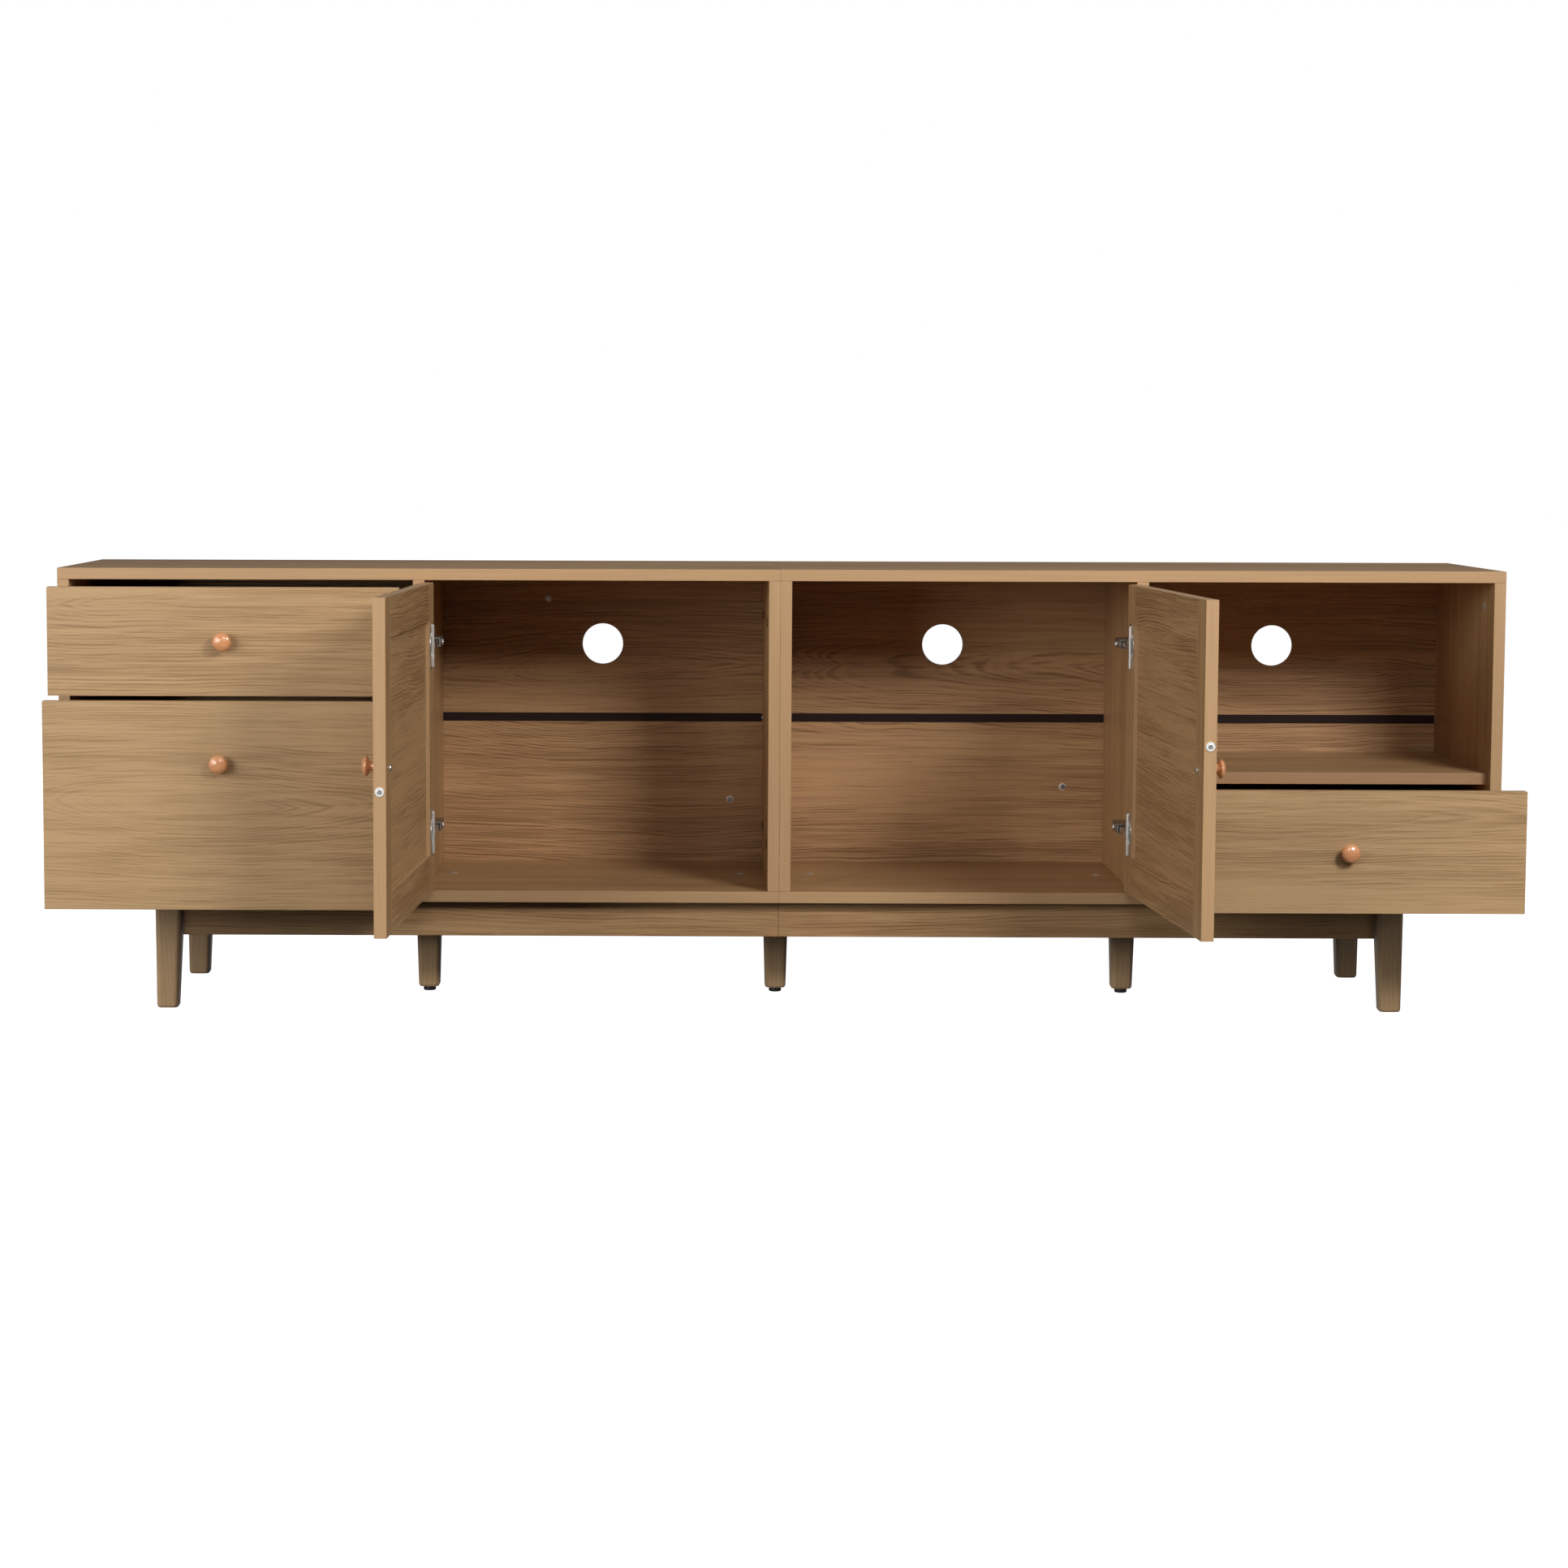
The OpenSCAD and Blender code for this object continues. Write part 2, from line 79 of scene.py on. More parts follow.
def add_sky():
    scene = bpy.context.scene
    scene.view_settings.view_transform = "Standard"
    world = bpy.data.worlds.new("studio")
    world.use_nodes = True
    tree = world.node_tree
    tree.nodes.clear()
    path = tree.nodes.new("ShaderNodeLightPath")
    strength = tree.nodes.new("ShaderNodeMath")
    strength.operation = "MULTIPLY_ADD"
    strength.inputs[1].default_value = REFLECTED_SKY
    sky = tree.nodes.new("ShaderNodeBackground")
    sky.inputs["Color"].default_value = (1, 1, 1, 1)
    out = tree.nodes.new("ShaderNodeOutputWorld")
    tree.links.new(path.outputs["Is Glossy Ray"], strength.inputs[0])
    tree.links.new(path.outputs["Is Camera Ray"], strength.inputs[2])
    tree.links.new(strength.outputs[0], sky.inputs["Strength"])
    tree.links.new(sky.outputs[0], out.inputs[0])
    scene.world = world


LIT_POINT = Vector((0, 0, 0.35))

# Name, degrees right of the front, degrees up, distance from the lit point, size and power
SOFTBOXES = (
    ("key_right", 32, 27, 4.0, 1.0, 86),
    ("fill_left", -36, 10, 4.0, 1.2, 36),
    ("far_left", -54, 14, 4.0, 1.8, 42),
    ("front", 0, 28, 4.0, 1.0, 20),
    ("side_right", 60, 10, 4.0, 1.0, 12),
    ("above", 0, 80, 2.5, 1.5, 5),
    ("behind", 180, 8, 4.0, 1.5, 45),
)


def add_softbox(name, place, target, size, power):
    """A square area light at place that faces target."""
    light = bpy.data.lights.new(name, "AREA")
    light.size = size
    light.energy = power
    lamp = bpy.data.objects.new(name, light)
    facing = (target - place).to_track_quat("-Z", "Y").to_matrix().to_4x4()
    lamp.matrix_world = Matrix.Translation(place) @ facing
    bpy.context.scene.collection.objects.link(lamp)
    return lamp


def add_lights():
    """All the softboxes. The one behind would glare on the top panel, so it stays out of reflections."""
    for name, azimuth, elevation, distance, size, power in SOFTBOXES:
        across, up = math.radians(azimuth), math.radians(elevation)
        away = Vector((math.sin(across)*math.cos(up), -math.cos(across)*math.cos(up), math.sin(up)))
        lamp = add_softbox(name, LIT_POINT + distance*away, LIT_POINT, size, power)
        lamp.visible_glossy = name != "behind"


FLOOR_REACH = 30
FLOOR_GAP = 0.5*MM


def add_floor():
    """A glowing white floor, which the cabinet neither reflects nor takes light from."""
    bm = bmesh.new()
    bmesh.ops.create_grid(bm, x_segments=1, y_segments=1, size=FLOOR_REACH)
    mesh = bpy.data.meshes.new("floor")
    bm.to_mesh(mesh)
    bm.free()
    floor = bpy.data.objects.new("floor", mesh)
    floor.location.z = -FLOOR_GAP
    bpy.context.scene.collection.objects.link(floor)
    paint = bpy.data.materials.new("floor")
    paint.use_nodes = True
    shader = paint.node_tree.nodes["Principled BSDF"]
    shader.inputs["Base Color"].default_value = (0.86, 0.86, 0.86, 1)
    shader.inputs["Roughness"].default_value = 0.9
    shader.inputs["Emission Color"].default_value = (1, 1, 1, 1)
    shader.inputs["Emission Strength"].default_value = 1.0
    mesh.materials.append(paint)
    floor.visible_diffuse = False
    floor.visible_glossy = False


# ---- Shader helpers ----

class Shader:
    """A material whose nodes are added one call at a time."""

    def __init__(self, name):
        self.material = bpy.data.materials.new(name)
        self.material.use_nodes = True
        self.tree = self.material.node_tree
        self.out = self.tree.nodes["Principled BSDF"]
        self.coords = self.tree.nodes.new("ShaderNodeTexCoord")

    def put(self, socket, value):
        if isinstance(value, bpy.types.NodeSocket):
            self.tree.links.new(value, socket)
        elif hasattr(value, "__len__") and socket.type == "RGBA":
            socket.default_value = (*value[:3], 1)
        else:
            socket.default_value = value

    def set(self, **values):
        for name, value in values.items():
            self.put(self.out.inputs[name.replace("_", " ")], value)

    def mapping(self, vector, scale=(1, 1, 1), turn=(0, 0, 0), kind="POINT"):
        node = self.tree.nodes.new("ShaderNodeMapping")
        node.vector_type = kind
        self.put(node.inputs["Vector"], vector)
        node.inputs["Rotation"].default_value = turn
        node.inputs["Scale"].default_value = scale
        return node.outputs[0]

    def noise(self, vector, scale=1.0, detail=2.0, rough=0.5):
        node = self.tree.nodes.new("ShaderNodeTexNoise")
        self.put(node.inputs["Vector"], vector)
        node.inputs["Scale"].default_value = scale
        node.inputs["Detail"].default_value = detail
        node.inputs["Roughness"].default_value = rough
        return node.outputs[0]

    def math(self, operation, a, b=0.0, c=0.0):
        node = self.tree.nodes.new("ShaderNodeMath")
        node.operation = operation
        for socket, value in zip(node.inputs, (a, b, c)):
            self.put(socket, value)
        return node.outputs[0]

    def fit(self, value, low, high, to_low=0.0, to_high=1.0):
        """Carries low..high smoothly to to_low..to_high, and holds at both ends."""
        node = self.tree.nodes.new("ShaderNodeMapRange")
        node.interpolation_type = "SMOOTHSTEP"
        for name, v in (("Value", value), ("From Min", low), ("From Max", high),
                        ("To Min", to_low), ("To Max", to_high)):
            self.put(node.inputs[name], v)
        return node.outputs[0]

    def split(self, vector):
        node = self.tree.nodes.new("ShaderNodeSeparateXYZ")
        self.put(node.inputs[0], vector)
        return node.outputs

    def join(self, x, y, z):
        node = self.tree.nodes.new("ShaderNodeCombineXYZ")
        for socket, value in zip(node.inputs, (x, y, z)):
            self.put(socket, value)
        return node.outputs[0]

    def mix(self, factor, a, b):
        node = self.tree.nodes.new("ShaderNodeMix")
        node.data_type = "RGBA"
        self.put(node.inputs["Factor"], factor)
        self.put(node.inputs["A"], a)
        self.put(node.inputs["B"], b)
        return node.outputs["Result"]

    def bump(self, height, depth, strength):
        node = self.tree.nodes.new("ShaderNodeBump")
        node.inputs["Strength"].default_value = strength
        node.inputs["Distance"].default_value = depth
        self.put(node.inputs["Height"], height)
        return node.outputs[0]


def tinted(colour, factor):
    return [channel*factor for channel in colour]


# ---- Wood ----

OAK_LIGHT = (0.528, 0.340, 0.170)
OAK_DARK = (0.325, 0.194, 0.086)
BAND = (0.51, 0.312, 0.158)
# A warmer, darker copy of the oak print, used on every board but the drawers: partly the boards' own tone,
# partly painted warm bounce light and shade of the compartments
INNER_LIGHT = (0.500, 0.302, 0.142)
INNER_DARK = (0.270, 0.140, 0.055)
# The backs' copy, warmer still: partly their own tone, partly painted warm bounce light from inside the
# compartments
BACK_LIGHT = (0.540, 0.310, 0.147)
BACK_DARK = (0.270, 0.142, 0.058)
RAW_BOARD = (0.34, 0.22, 0.12)
SHELF_BAND = (0.41, 0.235, 0.118)
LEG_LIGHT = (0.56, 0.365, 0.19)
LEG_DARK = (0.32, 0.19, 0.085)

# How far the rings stray from clean arches: across the board, in small waves, along it, and as ragged lines
SWAY = 40*MM
RIPPLE = 6.5*MM
DRIFT = 40*MM
RAGGED = 2*MM
# This far to the side of the eye, an arch has half its bend
ARCH_REACH = 35*MM
# Years differ in width: their pace changes this often in a metre, by up to this many rings
PACE_CHANGES = 45.0
PACE_RINGS = 4.5


def oak_axes(s, grain, face, turn):
    """Coordinates along the grain, across it and through the board, and how much a point faces through it.
    grain and face name axes; turn undoes the angle at which a door stands."""
    point = s.split(s.mapping(s.coords.outputs["Object"], turn=(0, 0, turn)))
    normal = s.split(s.mapping(s.coords.outputs["Normal"], turn=(0, 0, turn), kind="VECTOR"))
    names = "XYZ"
    across = ({"X", "Y", "Z"} - {grain, face}).pop()
    u, v, w = (point[names.index(a)] for a in (grain, across, face))
    flat = normal[names.index(face)]
    return u, v, w, flat


def stretched(s, u, v, along, across, start, **kind):
    """Noise with its own scale along u and across it on v. start is where its three axes begin."""
    x = s.math("MULTIPLY_ADD", u, along, start[0])
    y = s.math("MULTIPLY_ADD", v, across, start[1])
    return s.noise(s.join(x, y, start[2]), **kind)


def strayed(s, value, noise, reach):
    """value moved up or down by at most half of reach."""
    return s.math("MULTIPLY_ADD", s.math("SUBTRACT", noise, 0.5), reach, value)


def plank(s, u, v, seed, eye, slope=0.10, tip=6*MM, heart=12*MM, ring=3.6*MM, wander=1.0):
    """Dark latewood bands from 0 to 1, where a flat board cuts the year rings of a trunk.
    Rings close in pointed arches around eye: slope is how fast, and tip how blunt they are. No ring shows
    within heart of the eye, ring is the width of a year, and wander is how much the rings stray."""
    shift = 3.7*seed
    sway = stretched(s, u, v, 2.2, 3.0, (shift, seed, shift), detail=1)
    wave = stretched(s, u, v, 9.0, 22.0, (seed, shift, shift), detail=2)
    drift = stretched(s, u, v, 4.0, 4.0, (seed, shift, seed), detail=2)
    rag = stretched(s, u, v, 30.0, 120.0, (seed, shift, seed), detail=3, rough=0.6)
    side = strayed(s, s.math("SUBTRACT", v, eye[1]), sway, SWAY*wander)
    side = s.math("ABSOLUTE", strayed(s, side, wave, RIPPLE*wander))
    lean = strayed(s, s.math("MULTIPLY_ADD", u, slope, -slope*eye[0]), drift, DRIFT*wander)
    arch = s.math("SQRT", s.math("MULTIPLY_ADD", lean, lean, tip*tip))
    weak = s.math("DIVIDE", ARCH_REACH, s.math("ADD", side, ARCH_REACH))
    radius = strayed(s, s.math("MULTIPLY_ADD", arch, weak, side), rag, RAGGED)
    pace = s.noise(s.join(s.math("MULTIPLY", radius, PACE_CHANGES), seed, 0.0), detail=1)
    phase = s.math("MULTIPLY_ADD", pace, PACE_RINGS, s.math("DIVIDE", radius, ring))
    saw = s.math("FRACT", phase)
    pulse = s.math("MULTIPLY", s.fit(saw, 0.22, 0.66), s.fit(saw, 0.72, 0.98, 1.0, 0.0))
    pulse = s.math("MULTIPLY", pulse, s.fit(radius, 0.85*heart, 1.1*heart))
    year = s.noise(s.join(s.math("MULTIPLY", s.math("FLOOR", phase), 1.7),
                          s.math("MULTIPLY_ADD", u, 5.0, shift), seed), detail=2)
    return s.math("MULTIPLY", pulse, s.fit(year, 0.32, 0.62, 0.2, 1.0))


def oak(name, grain, face, light, dark, seed=0.0, eye=(0.0, 0.0), turn=0.0, band=None, reverse=None,
        contrast=0.60, roughness=0.42, **rings):
    """Printed oak laminate. band is the colour of the plain edge banding, and reverse of the board's back."""
    s = Shader(name)
    u, v, w, flat = oak_axes(s, grain, face, turn)
    line = plank(s, u, v, seed, eye, **rings)
    deep = s.math("MULTIPLY_ADD", w, 30.0, seed)
    pore = s.fit(stretched(s, u, v, 38.0, 1000.0, (0.0, 0.0, deep), detail=2, rough=0.6), 0.54, 0.68)
    fibre = stretched(s, u, v, 8.0, 330.0, (seed, 0.0, seed), detail=4, rough=0.65)
    streaks = stretched(s, u, v, 2.2, 60.0, (seed, 0.0, seed), detail=3)
    clouds = stretched(s, u, v, 1.3, 9.0, (seed, 0.0, seed), detail=2)
    calm = s.fit(clouds, 0.35, 0.62, 0.3, 1.1)
    broken = s.math("MULTIPLY", line, s.fit(fibre, 0.34, 0.60, 0.35, 1.15))
    tone = s.math("MULTIPLY", s.math("MULTIPLY", broken, calm), contrast)
    tone = s.math("MULTIPLY_ADD", pore, s.fit(line, 0.0, 1.0, 0.08, 0.22), tone)
    for layer, low, high, lighter, darker in (
        (clouds, 0.3, 0.7, -0.08, 0.24),
        (streaks, 0.25, 0.75, -0.16, 0.28),
        (fibre, 0.25, 0.75, -0.24, 0.32),
    ):
        tone = s.math("ADD", tone, s.fit(layer, low, high, lighter, darker))
    colour = s.mix(tone, light, dark)
    height = s.math("MULTIPLY", s.math("MULTIPLY_ADD", line, 0.3, pore), -1.0)
    if band:
        thin = stretched(s, u, v, 6.0, 6.0, (0.0, 0.0, s.math("MULTIPLY", w, 800.0)), detail=3, rough=0.6)
        plain = s.mix(s.fit(thin, 0.3, 0.75), tinted(band, 1.05), tinted(band, 0.9))
        on_face = s.fit(s.math("ABSOLUTE", flat), 0.72, 0.9)
        colour = s.mix(on_face, plain, colour)
        height = s.math("MULTIPLY", height, on_face)
    if reverse:
        fuzz = s.noise(s.coords.outputs["Object"], scale=900.0, detail=3, rough=0.7)
        raw = s.mix(fuzz, tinted(reverse, 0.8), tinted(reverse, 1.15))
        colour = s.mix(s.fit(flat, 0.6, 0.9), colour, raw)
    s.set(Base_Color=colour, Normal=s.bump(height, 0.12*MM, 0.7), Roughness=roughness,
          Specular_IOR_Level=0.38)
    return s.material


def solid_oak(name, seed, painted_lighting):
    """Clear-coated solid wood with upright grain, for the legs. The last argument scales both colours: below
    1 it is painted shade, above 1 painted light.
    """
    s = Shader(name)
    x, y, z = s.split(s.coords.outputs["Object"])
    wave = stretched(s, x, y, 6.0, 6.0, (0.0, 0.0, s.math("MULTIPLY_ADD", z, 3.0, seed)), detail=2)
    rings = s.math("ADD", s.math("MULTIPLY", x, 150.0), s.math("MULTIPLY", y, 90.0))
    rings = s.math("FRACT", s.math("ADD", rings, s.math("MULTIPLY", wave, 7.0)))
    line = s.math("MULTIPLY", s.fit(rings, 0.2, 0.85), s.fit(rings, 0.9, 1.0, 1.0, 0.0))
    pores = stretched(s, x, y, 1300.0, 1300.0, (0.0, 0.0, s.math("MULTIPLY", z, 45.0)), detail=2, rough=0.6)
    pore = s.fit(pores, 0.55, 0.72)
    tone = s.math("ADD", s.math("MULTIPLY", line, 0.22), s.math("MULTIPLY", pore, 0.3))
    # Painted light and shade: both leg colours are scaled by one factor per leg
    s.set(Base_Color=s.mix(tone, tinted(LEG_LIGHT, painted_lighting), tinted(LEG_DARK, painted_lighting)),
          Normal=s.bump(s.math("MULTIPLY", pore, -1.0), 0.2*MM, 0.6), Roughness=0.36,
          Coat_Weight=0.25, Coat_Roughness=0.25)
    return s.material


# ---- Other materials ----

def lacquer():
    """Turned wood under a thick orange lacquer."""
    s = Shader("knob_lacquer")
    flow = s.noise(s.mapping(s.coords.outputs["Object"], scale=(60, 60, 700)), detail=2)
    colour = s.mix(s.fit(flow, 0.35, 0.7), (0.76, 0.345, 0.155), (0.64, 0.260, 0.100))
    s.set(Base_Color=colour, Roughness=0.30, Coat_Weight=0.8, Coat_Roughness=0.07,
          Normal=s.bump(flow, 0.08*MM, 0.4))
    return s.material


def plated(name, tint, rough):
    """Plated pressed steel with faint rolling marks."""
    s = Shader(name)
    marks = s.noise(s.mapping(s.coords.outputs["Object"], scale=(900, 900, 90)), detail=3, rough=0.6)
    smudge = s.noise(s.coords.outputs["Object"], scale=70.0, detail=3)
    s.set(Base_Color=s.mix(s.fit(smudge, 0.35, 0.7), tint, tinted(tint, 0.82)), Metallic=1.0,
          Roughness=s.fit(marks, 0.2, 0.8, rough - 0.06, rough + 0.12),
          Normal=s.bump(marks, 0.03*MM, 0.5))
    return s.material


def plastic(name, colour, rough, shine=0.5):
    """Moulded plastic with a fine, even texture."""
    s = Shader(name)
    grains = s.noise(s.coords.outputs["Object"], scale=2200.0, detail=2)
    tone = s.noise(s.coords.outputs["Object"], scale=45.0, detail=2)
    s.set(Base_Color=s.mix(tone, tinted(colour, 0.9), tinted(colour, 1.1)), Roughness=rough,
          Specular_IOR_Level=shine, Normal=s.bump(grains, 0.1*MM, 0.35))
    return s.material


# ---- Small fittings ----

# Round heads, in millimetres. reach is half the length of the cross recess, and deep is its depth.
HINGE_SCREW = dict(radius=4.1, height=1.9, rim=0.9, reach=2.2, deep=0.35)
KNOB_SCREW = dict(radius=4.5, height=2.4, rim=1.3, reach=2.6, deep=1.2)
EDGE_PLUG = dict(radius=6.0, height=1.2, rim=0.5, reach=2.2, deep=0.3)
EDGE_SCREW = dict(radius=3.2, height=1.7, rim=0.4, reach=2.4, deep=0.6)
BACK_HEAD = dict(radius=3.8, height=1.7, rim=0.8, reach=2.2, deep=0.4)
BACK_CUP = dict(radius=5.2, height=1.1, rim=0.5, reach=2.0, deep=0.2)
CROSS_ARM = 0.26
HEAD_STEPS = 64
RIB_END_STEPS = 8


def cross_radius(angle, reach, half):
    """Distance from the centre of a plus sign to its outline."""
    across, up = max(abs(math.cos(angle)), 1e-9), max(abs(math.sin(angle)), 1e-9)
    return max(min(reach/across, half/up), min(half/across, reach/up))


def skin(bm, rings):
    """Joins rings of vertices into a closed solid."""
    for low, high in zip(rings, rings[1:]):
        for i in range(len(low)):
            j = (i + 1) % len(low)
            bm.faces.new((low[i], low[j], high[j], high[i]))
    bm.faces.new(rings[0][::-1])
    bm.faces.new(rings[-1])


def add_head(bm, matrix, radius, height, rim, reach, deep):
    """A round head standing on matrix's XY plane, with a rounded rim and a cross recess."""
    outline = ((radius, 0), (radius, height - rim), (radius - 0.3*rim, height - 0.3*rim),
               (radius - rim, height), ("cross", height), ("cross", height - deep))
    rings = []
    for r, z in outline:
        ring = []
        for i in range(HEAD_STEPS):
            angle = 2*math.pi*i/HEAD_STEPS
            out = cross_radius(angle, reach, CROSS_ARM*reach) if r == "cross" else r
            ring.append(bm.verts.new(matrix @ Vector((out*math.cos(angle), out*math.sin(angle), z))))
        rings.append(ring)
    skin(bm, rings)


def add_rib(bm, matrix, length, width, height):
    """A straight rib with round ends and a chamfered top, along matrix's Y axis."""
    rings = []
    for z, inset in ((0, 0), (0.6*height, 0), (height, 0.25*width)):
        r = width/2 - inset
        ring = []
        for end, start in ((1, 0), (-1, math.pi)):
            for i in range(RIB_END_STEPS + 1):
                angle = start + math.pi*i/RIB_END_STEPS
                x, y = r*math.cos(angle), end*(length - width)/2 + r*math.sin(angle)
                ring.append(bm.verts.new(matrix @ Vector((x, y, z))))
        rings.append(ring)
    skin(bm, rings)


def standing(place, direction):
    """The matrix of something that stands at place and points along direction."""
    return Matrix.Translation(place) @ Vector(direction).to_track_quat("Z", "Y").to_matrix().to_4x4()


def add_piece(name, body, material, bm):
    mesh = bpy.data.meshes.new(name)
    bm.to_mesh(mesh)
    bm.free()
    piece = bpy.data.objects.new(name, mesh)
    bpy.context.scene.collection.objects.link(piece)
    mesh.materials.append(material)
    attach(piece, body)


def add_heads(name, body, material, places, radius, height, rim, reach, deep):
    """One piece with an equal head at each of places, which are matrices in the rest pose."""
    bm = bmesh.new()
    for matrix in places:
        add_head(bm, matrix, radius*MM, height*MM, rim*MM, reach*MM, deep*MM)
    add_piece(name, body, material, bm)


# ---- Carried-over CAD nodes ----

WELD_REACH = 0.02*MM
# Edges that turn by more than this are eased
EASED_FROM = math.radians(40)


def finish_node(name, material, edge=0.7*MM):
    """Gives a CAD node its material and, unless edge is 0, eased edges."""
    piece = nodes[name]
    piece.data.materials.clear()
    piece.data.materials.append(material)
    if edge:
        weld = piece.modifiers.new("weld", "WELD")
        weld.merge_threshold = WELD_REACH
        bevel = piece.modifiers.new("eased_edges", "BEVEL")
        bevel.width = edge
        bevel.segments = 2
        bevel.limit_method = "ANGLE"
        bevel.angle_limit = EASED_FROM
        bevel.harden_normals = True


def dress_carcass():
    flat = dict(light=INNER_LIGHT, dark=INNER_DARK, band=BAND)
    backs = dict(light=BACK_LIGHT, dark=BACK_DARK, reverse=RAW_BOARD, contrast=0.85)
    for i, side in enumerate(("left", "right")):
        x = i - 0.5
        # The axes of the grain and of the face, the seed and the eye
        boards = {
            "top_": ("X", "Z", 1.7, (x + 0.1, 0.05)),
            "base_": ("X", "Z", 3.2, (x, -0.04)),
            "side_": ("Z", "X", 5.1, (0.30, 0.05)),
            "centre_": ("Z", "X", 7.4, (0.40, -0.08)),
            "partition_": ("Z", "X", 9.6, (0.35, -0.02)),
        }
        for board, (grain, face, seed, eye) in boards.items():
            finish_node(board + side, oak(board + side, grain, face, seed=seed + i, eye=eye, **flat))
        upper = oak("back_upper_" + side, "X", "Y", seed=11.3, eye=(x + 0.22, 0.455), wander=1.2, **backs)
        lower = oak("back_lower_" + side, "X", "Y", seed=13.8, eye=(x + 0.22, 0.395), wander=1.3, **backs)
        finish_node("back_upper_" + side, upper, 0)
        finish_node("back_lower_" + side, lower, 0)
    shelf = flat | dict(band=SHELF_BAND)
    finish_node("shelf", oak("shelf", "X", "Z", seed=15.2, eye=(0.7, 0.1), **shelf))
    for name in ("aprons_front", "aprons_back"):
        finish_node(name, oak(name, "X", "Y", seed=17.5, eye=(0.1, 0.3), **flat))
    finish_node("aprons_end", oak("aprons_end", "Y", "X", seed=19.1, eye=(0, 0.3), **flat))
    finish_node("back_joiners", plastic("joiner_maroon", (0.020, 0.008, 0.006), 0.6, shine=0.2), 0.2*MM)
    # Painted shade darkens the back legs (0.7) and painted light brightens the middle legs (1.2)
    for name, seed, painted_lighting in (("legs_front", 0.0, 1.0), ("legs_back", 2.3, 0.7), ("legs_mid", 4.6, 1.2)):
        finish_node(name, solid_oak(name, seed, painted_lighting), 0)
    black = plastic("black_plastic", (0.012, 0.012, 0.012), 0.45)
    for name in ("foot_left", "foot_centre", "foot_right"):
        finish_node(name, black, 0.4*MM)
    finish_node("cam_caps", plastic("cap_grey", (0.42, 0.37, 0.33), 0.45), 0.2*MM)


def door_joint(side):
    return next(j for j in frame["joints"] if j["name"] == f"door_{side}_hinge")


def open_angle(side):
    """The angle at which a door stands at rest, from its joint's closed limit."""
    return math.radians(-door_joint(side)["range_deg"][0])


def dress_doors(lacquered):
    for i, side in enumerate(("left", "right")):
        turn = open_angle(side)*(1 if side == "left" else -1)
        wood = dict(light=INNER_LIGHT, dark=INNER_DARK, band=BAND, turn=turn, contrast=1.20)
        low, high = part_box(f"door_{side}_panel")
        middle = Matrix.Rotation(turn, 3, "Z") @ ((low + high)/2)
        # The axis of the grain, the seed and the eye
        frames = {
            "stiles": ("Z", 21.4, (0.30, middle.x + 0.3)),
            "rails": ("X", 23.7, (middle.x, 0.36)),
            "panel": ("X", 25.9, (middle.x + 0.05, 0.62)),
        }
        for part, (grain, seed, eye) in frames.items():
            name = f"door_{side}_{part}"
            finish_node(name, oak(name, grain, "Y", seed=seed + i, eye=eye, **wood))
        finish_node(f"door_{side}_knob", lacquered, 0)


BACKWARD = (0, 1, 0)
SUB_FRONT = 12*MM


def dress_drawers(lacquered, steel):
    laminate = dict(light=OAK_LIGHT, dark=OAK_DARK)
    fronts = {
        "top": dict(seed=27.3, eye=(-0.70, 0.575), slope=0.08),
        "low": dict(seed=29.9, eye=(-0.766, 0.311), slope=0.16, heart=17*MM, wander=0.7, contrast=0.62),
        "right": dict(seed=31.2, eye=(0.66, 0.30), slope=0.08),
    }
    for name, rings in fronts.items():
        drawer = name + "_drawer_"
        finish_node(drawer + "front", oak(drawer + "front", "X", "Y", band=BAND, **laminate, **rings))
        finish_node(drawer + "box", oak(drawer + "box", "X", "Z", band=BAND, seed=rings["seed"] + 40,
                                        **laminate))
        finish_node(drawer + "bottom", oak(drawer + "bottom", "X", "Z", light=BACK_LIGHT, dark=BACK_DARK,
                                           seed=rings["seed"] + 50))
        finish_node(drawer + "knob", lacquered, 0)
        finish_node(drawer + "runners", steel, 0.2*MM)
        finish_node(drawer + "slides", steel, 0.2*MM)
        low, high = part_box(drawer + "knob")
        inner_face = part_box(drawer + "box")[0].y + SUB_FRONT
        screw = standing(((low.x + high.x)/2, inner_face, (low.z + high.z)/2), BACKWARD)
        add_heads(drawer + "knob_screw", name + "_drawer", steel, [screw], **KNOB_SCREW)


# Places on a closed door: distance from the cabinet's middle, depth and height
FREE_EDGE_X, FREE_EDGE_Y = 0.019, -0.165
PLUG_HEIGHTS = {"left": 0.355, "right": 0.415}
KNOB_SCREW_X, KNOB_SCREW_Y, KNOB_SCREW_Z = 0.054, -0.157, 0.382
FLANGE_SCREW_X, FLANGE_SCREW_Y = 0.4665, -0.1558
RIB_X, RIB_Y = 0.4605, -0.1560
RIB = dict(length=61*MM, width=5.5*MM, height=3.4*MM)

# Places on a partition
PLATE_SCREW_X, PLATE_SCREW_Y = 0.490, -0.123
ADJUSTER_X, ADJUSTER_Y = 0.472, -0.113

# Both hinges of a door, and the screws above and below the middle of each
HINGE_HEIGHTS = (0.253, 0.511)
FLANGE_SCREW_LIFTS = (-24*MM, 24*MM)
PLATE_SCREW_LIFTS = (-12.5*MM, 12.5*MM)


def swing(side):
    """Carries a point of a closed door to where it stands at rest."""
    pivot = Vector(door_joint(side)["pos_m"])
    turn = Matrix.Rotation(open_angle(side)*(-1 if side == "left" else 1), 4, "Z")
    return Matrix.Translation(pivot) @ turn @ Matrix.Translation(-pivot)


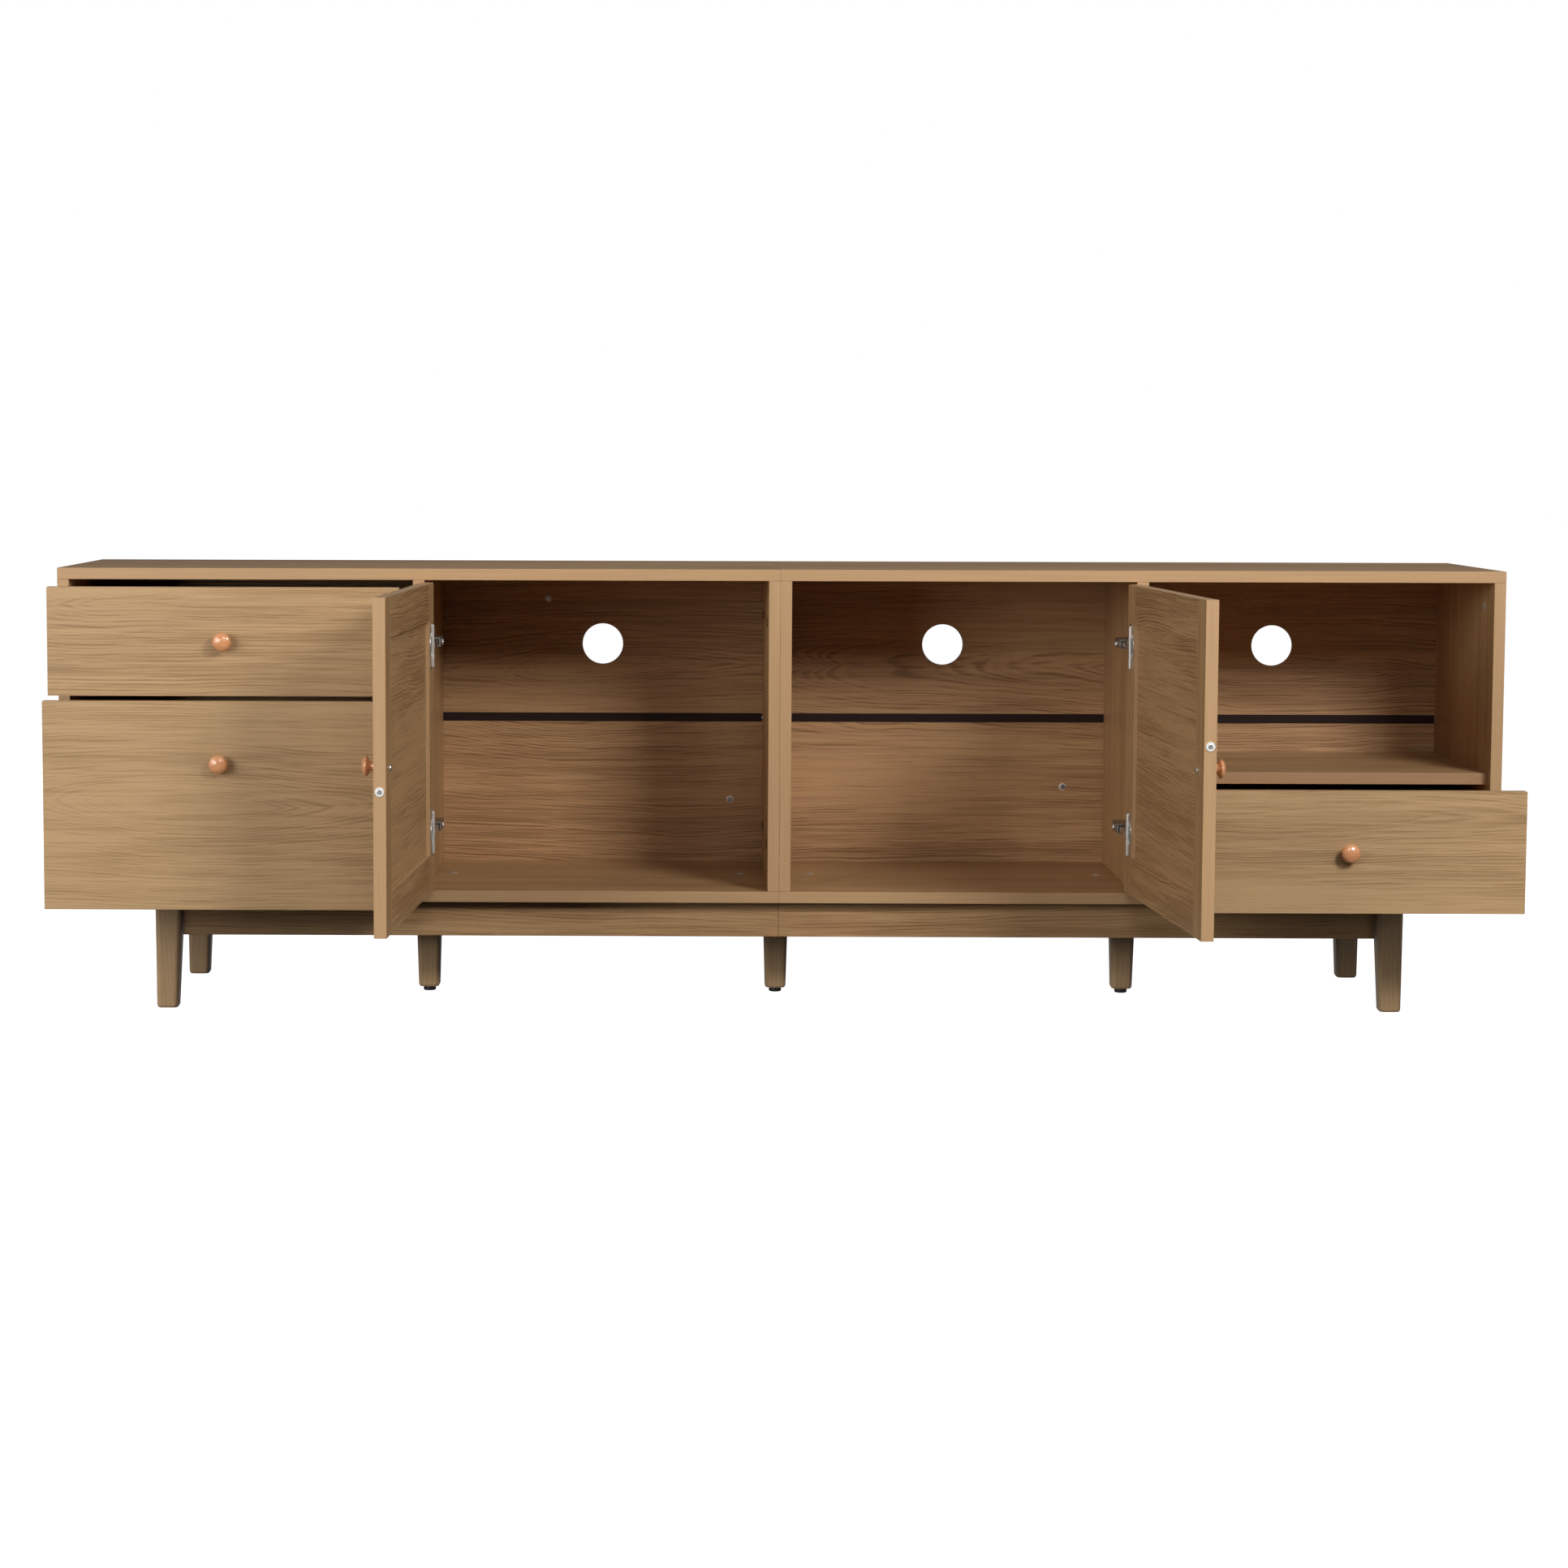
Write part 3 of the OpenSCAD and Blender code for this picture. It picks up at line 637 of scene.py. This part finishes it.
def dress_hinges(steel, arm_steel):
    zinc = plated("bright_zinc", (0.80, 0.77, 0.73), 0.48)
    white = plastic("plug_white", (0.80, 0.80, 0.79), 0.35)
    for way, side in ((-1, "left"), (1, "right")):
        for part, metal in (("hinge_arms_", arm_steel), ("hinge_links_", steel), ("hinge_cups_", steel)):
            finish_node(part + side, metal, 0.3*MM)
        door, opened = "door_" + side, swing(side)
        to_middle = (-way, 0, 0)

        plug = opened @ standing((way*FREE_EDGE_X, FREE_EDGE_Y, PLUG_HEIGHTS[side]), to_middle)
        add_heads(door + "_edge_plug", door, white, [plug], **EDGE_PLUG)
        add_heads(door + "_edge_screw", door, steel, [plug], **EDGE_SCREW)
        screw = opened @ standing((way*KNOB_SCREW_X, KNOB_SCREW_Y, KNOB_SCREW_Z), BACKWARD)
        add_heads(door + "_knob_screw", door, steel, [screw], **KNOB_SCREW)

        flange = [opened @ standing((way*FLANGE_SCREW_X, FLANGE_SCREW_Y, z + lift), BACKWARD)
                  for z in HINGE_HEIGHTS for lift in FLANGE_SCREW_LIFTS]
        add_heads(door + "_flange_screws", door, steel, flange, **HINGE_SCREW)
        bm = bmesh.new()
        for z in HINGE_HEIGHTS:
            add_rib(bm, opened @ standing((way*RIB_X, RIB_Y, z), BACKWARD), **RIB)
        add_piece(door + "_flange_ribs", door, zinc, bm)

        plate = [standing((way*PLATE_SCREW_X, PLATE_SCREW_Y, z + lift), to_middle)
                 for z in HINGE_HEIGHTS for lift in PLATE_SCREW_LIFTS]
        plate += [standing((way*ADJUSTER_X, ADJUSTER_Y, z), to_middle) for z in HINGE_HEIGHTS]
        add_heads(f"hinge_{side}_screws", "carcass", steel, plate, **HINGE_SCREW)


# Where the heads that hold the backs stand along the cabinet and in height, and how far out
BACK_HEAD_PLACES = ((-0.335, 0.560), (-0.064, 0.261), (0.432, 0.281))
BACK_HEAD_GAP = 0.8*MM


def dress_fasteners(arm_steel):
    """The bolts between the modules, and the cups and heads on the backs."""
    finish_node("module_bolts", plated("bolt_bronze", (0.16, 0.10, 0.065), 0.4), 0.2*MM)
    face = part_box("back_upper_left")[0].y - BACK_HEAD_GAP
    heads = [standing((x, face, z), (0, -1, 0)) for x, z in BACK_HEAD_PLACES]
    add_heads("back_screw_heads", "carcass", arm_steel, heads, **BACK_HEAD)
    seats = [Matrix.Translation((0, BACK_HEAD_GAP, 0)) @ head for head in heads]
    cup_grey = plastic("cup_grey", (0.86, 0.82, 0.78), 0.4)
    add_heads("back_screw_cups", "carcass", cup_grey, seats, **BACK_CUP)


add_camera()
add_sky()
add_lights()
add_floor()
dress_carcass()
nickel = plated("nickel", (0.74, 0.72, 0.69), 0.26)
lacquered_wood = lacquer()
dress_doors(lacquered_wood)
dress_drawers(lacquered_wood, nickel)
dark_steel = plated("arm_steel", (0.40, 0.36, 0.32), 0.36)
dress_hinges(nickel, dark_steel)
dress_fasteners(dark_steel)
